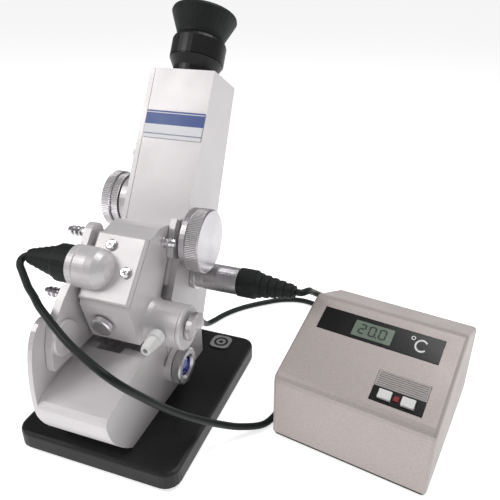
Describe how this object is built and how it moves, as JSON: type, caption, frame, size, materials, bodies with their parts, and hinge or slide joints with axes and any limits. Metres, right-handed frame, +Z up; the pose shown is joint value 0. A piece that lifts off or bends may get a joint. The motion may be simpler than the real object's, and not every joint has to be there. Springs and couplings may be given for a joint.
{
  "type": "abbe refractometer with digital thermometer",
  "caption": "Bench Abbe refractometer with a slanted eyepiece tube, hinged prism box, turning knobs and a cabled digital thermometer.",
  "frame": {"origin": "centre of the bounding box at the base, without the cords and their plugs", "axes": "+Z up, -Y the label side of the tube, +X towards the thermometer and the measuring knob"},
  "size_m": [0.2471, 0.2213, 0.2346],
  "materials": {
    "silver_paint": "fine satin silver paint",
    "bright_metal": "turned, with fine knurls",
    "chrome": "polished",
    "black_paint": "fine crinkle, satin",
    "black_rubber": "matte",
    "black_plastic": "fine satin",
    "black_gloss": "gloss",
    "clear_glass": "polished",
    "blue_glass": "polished",
    "label_blue": "printed plate, blue band over white, no lettering",
    "case_grey": "fine speckled warm silver paint",
    "display_glass": "grey-green display",
    "white_plastic": "satin",
    "red_plastic": "satin",
    "green_board": "lacquered board",
    "brass": "turned"
  },
  "bodies": {
    "frame": {"base_plate": "black_paint", "base_badge": "bright_metal", "stand_casting": "silver_paint", "tube_housing": "silver_paint", "tube_left_cover": "silver_paint", "label_plate": "label_blue", "eyepiece_mount": "black_plastic", "lens_barrel": "black_paint", "objective_lens": "clear_glass", "crosshair_glass": "clear_glass", "adjusting_cap": "bright_metal", "prism_mount": "silver_paint", "main_prism": "clear_glass", "hinge_pin": "chrome", "lamp_arm": "silver_paint", "arm_screw": "chrome", "upper_left_nipple": "chrome", "lower_left_nipple": "chrome", "probe_tube": "bright_metal", "left_plug": "black_rubber", "right_plug": "black_rubber", "window_ring": "bright_metal", "window_lens": "blue_glass", "rear_connector": "black_plastic", "meter_case": "case_grey", "meter_bottom": "black_plastic", "meter_window": "black_gloss", "meter_display": "display_glass", "switch_strip": "black_plastic", "ribbed_panel": "case_grey", "indicator_lamp": "red_plastic", "jack_strip": "black_plastic", "circuit_board": "green_board", "front_cord": "black_rubber", "right_cord": "black_rubber", "rear_cord": "black_rubber"},
    "knob": {"measurement_knob": "bright_metal", "measurement_shaft": "chrome"},
    "sector": {"scale_sector": "brass", "glass_scale": "clear_glass"},
    "compensator": {"compensator_knob": "bright_metal", "compensator_dial": "bright_metal", "compensator_shaft": "chrome"},
    "lower_amici": {"lower_amici_prism": "clear_glass"},
    "upper_amici": {"upper_amici_prism": "clear_glass"},
    "ocular": {"focus_ring": "black_plastic", "eyecup": "black_rubber", "eye_lens": "clear_glass"},
    "prism_housing": {"prism_box": "silver_paint", "secondary_prism": "clear_glass", "prism_cover": "silver_paint", "cover_screw_1": "chrome", "cover_screw_2": "chrome", "aperture_cap": "chrome", "front_nipple": "white_plastic", "upper_right_nipple": "chrome"},
    "lock": {"lock_handle": "bright_metal"},
    "button_1": {"push_button_1": "white_plastic"},
    "button_2": {"push_button_2": "white_plastic"}
  },
  "joints": [
    {"name": "measurement_knob_turn", "type": "hinge", "parent": "frame", "child": "knob", "pos_m": [-0.04147, -0.00242, 0.1083], "axis": [1, 0, 0], "range_deg": [-180, 180]},
    {"name": "scale_sector_swing", "type": "hinge", "parent": "frame", "child": "sector", "pos_m": [-0.05747, 0.02138, 0.0936], "axis": [1, 0, 0], "range_deg": [-18.65, 18.65]},
    {"name": "compensator_turn", "type": "hinge", "parent": "frame", "child": "compensator", "pos_m": [-0.10647, 0.01803, 0.118], "axis": [1, 0, 0], "continuous": true},
    {"name": "lower_amici_turn", "type": "hinge", "parent": "frame", "child": "lower_amici", "pos_m": [-0.07047, 0.01622, 0.11499], "axis": [0, 0.5126, 0.8586], "continuous": true},
    {"name": "upper_amici_turn", "type": "hinge", "parent": "frame", "child": "upper_amici", "pos_m": [-0.07047, 0.01981, 0.121], "axis": [0, 0.5126, 0.8586], "continuous": true},
    {"name": "focus_turn", "type": "hinge", "parent": "frame", "child": "ocular", "pos_m": [-0.07047, 0.06851, 0.20257], "axis": [0, 0.5126, 0.8586], "range_deg": [-120, 120]},
    {"name": "prism_box_swing", "type": "hinge", "parent": "frame", "child": "prism_housing", "pos_m": [-0.06147, -0.03842, 0.0712], "axis": [1, 0, 0], "range_deg": [0, 31]},
    {"name": "lock_turn", "type": "hinge", "parent": "prism_housing", "child": "lock", "pos_m": [-0.02947, -0.03842, 0.0712], "axis": [1, 0, 0], "range_deg": [0, 90]},
    {"name": "button_1_press", "type": "slide", "parent": "frame", "child": "button_1", "axis": [0.0679, 0.3734, -0.9252], "range_m": [0, 0.0012], "stiffness_N_per_m": 300},
    {"name": "button_2_press", "type": "slide", "parent": "frame", "child": "button_2", "axis": [0.0679, 0.3734, -0.9252], "range_m": [0, 0.0012], "stiffness_N_per_m": 300}
  ],
  "couplings": [
    {"joint": "scale_sector_swing", "follows": "measurement_knob_turn", "ratio": -0.1036},
    {"joint": "lower_amici_turn", "follows": "compensator_turn", "ratio": 0.37},
    {"joint": "upper_amici_turn", "follows": "compensator_turn", "ratio": -0.37}
  ]
}
